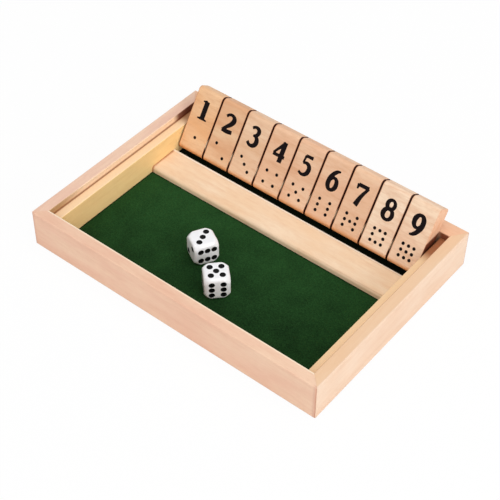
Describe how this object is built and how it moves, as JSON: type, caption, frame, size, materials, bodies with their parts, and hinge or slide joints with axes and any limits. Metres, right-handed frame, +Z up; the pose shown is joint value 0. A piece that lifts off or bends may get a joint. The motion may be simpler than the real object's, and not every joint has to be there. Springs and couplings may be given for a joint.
{
  "type": "shut the box game",
  "caption": "Shallow open wooden tray with a felt floor, numbered tiles hinged on a rod along the back, a low divider and dice.",
  "frame": {"origin": "middle of the underside", "axes": "+X along the row of tiles from one to nine, +Y from the open front to the back board, +Z up"},
  "size_m": [0.222, 0.158, 0.0454],
  "materials": {
    "walls": "satin pale beech",
    "rails": "satin pale beech",
    "plywood": "plain birch plywood",
    "felt": "short green felt",
    "bar": "satin pale beech",
    "rod": "bright drawn rod",
    "washers": "natural nylon",
    "tiles": "satin beech, printed",
    "dice": "glossy white"
  },
  "bodies": {
    "tray": {"front_wall": "walls", "back_wall": "walls", "left_wall": "walls", "right_wall": "walls", "left_rail": "rails", "right_rail": "rails", "base_panel": "plywood", "felt": "felt", "divider": "bar", "hinge_rod": "rod", "spacers": "washers"},
    "tile_1": {"tile_1": "tiles"},
    "tile_2": {"tile_2": "tiles"},
    "tile_3": {"tile_3": "tiles"},
    "tile_4": {"tile_4": "tiles"},
    "tile_5": {"tile_5": "tiles"},
    "tile_6": {"tile_6": "tiles"},
    "tile_7": {"tile_7": "tiles"},
    "tile_8": {"tile_8": "tiles"},
    "tile_9": {"tile_9": "tiles"},
    "die_1": {"die_1": "dice"},
    "die_2": {"die_2": "dice"}
  },
  "joints": [
    {"name": "tile_1_hinge", "type": "hinge", "parent": "tray", "child": "tile_1", "pos_m": [0, 0.0528, 0.0143], "axis": [1, 0, 0], "range_deg": [0, 123.8]},
    {"name": "tile_2_hinge", "type": "hinge", "parent": "tray", "child": "tile_2", "pos_m": [0, 0.0528, 0.0143], "axis": [1, 0, 0], "range_deg": [0, 123.8]},
    {"name": "tile_3_hinge", "type": "hinge", "parent": "tray", "child": "tile_3", "pos_m": [0, 0.0528, 0.0143], "axis": [1, 0, 0], "range_deg": [0, 123.8]},
    {"name": "tile_4_hinge", "type": "hinge", "parent": "tray", "child": "tile_4", "pos_m": [0, 0.0528, 0.0143], "axis": [1, 0, 0], "range_deg": [0, 123.8]},
    {"name": "tile_5_hinge", "type": "hinge", "parent": "tray", "child": "tile_5", "pos_m": [0, 0.0528, 0.0143], "axis": [1, 0, 0], "range_deg": [0, 123.8]},
    {"name": "tile_6_hinge", "type": "hinge", "parent": "tray", "child": "tile_6", "pos_m": [0, 0.0528, 0.0143], "axis": [1, 0, 0], "range_deg": [0, 123.8]},
    {"name": "tile_7_hinge", "type": "hinge", "parent": "tray", "child": "tile_7", "pos_m": [0, 0.0528, 0.0143], "axis": [1, 0, 0], "range_deg": [0, 123.8]},
    {"name": "tile_8_hinge", "type": "hinge", "parent": "tray", "child": "tile_8", "pos_m": [0, 0.0528, 0.0143], "axis": [1, 0, 0], "range_deg": [0, 123.8]},
    {"name": "tile_9_hinge", "type": "hinge", "parent": "tray", "child": "tile_9", "pos_m": [0, 0.0528, 0.0143], "axis": [1, 0, 0], "range_deg": [0, 123.8]},
    {"name": "die_1_lift", "type": "slide", "parent": "tray", "child": "die_1", "axis": [0, 0, 1], "range_m": [0, 0.06]},
    {"name": "die_2_lift", "type": "slide", "parent": "tray", "child": "die_2", "axis": [0, 0, 1], "range_m": [0, 0.06]}
  ]
}
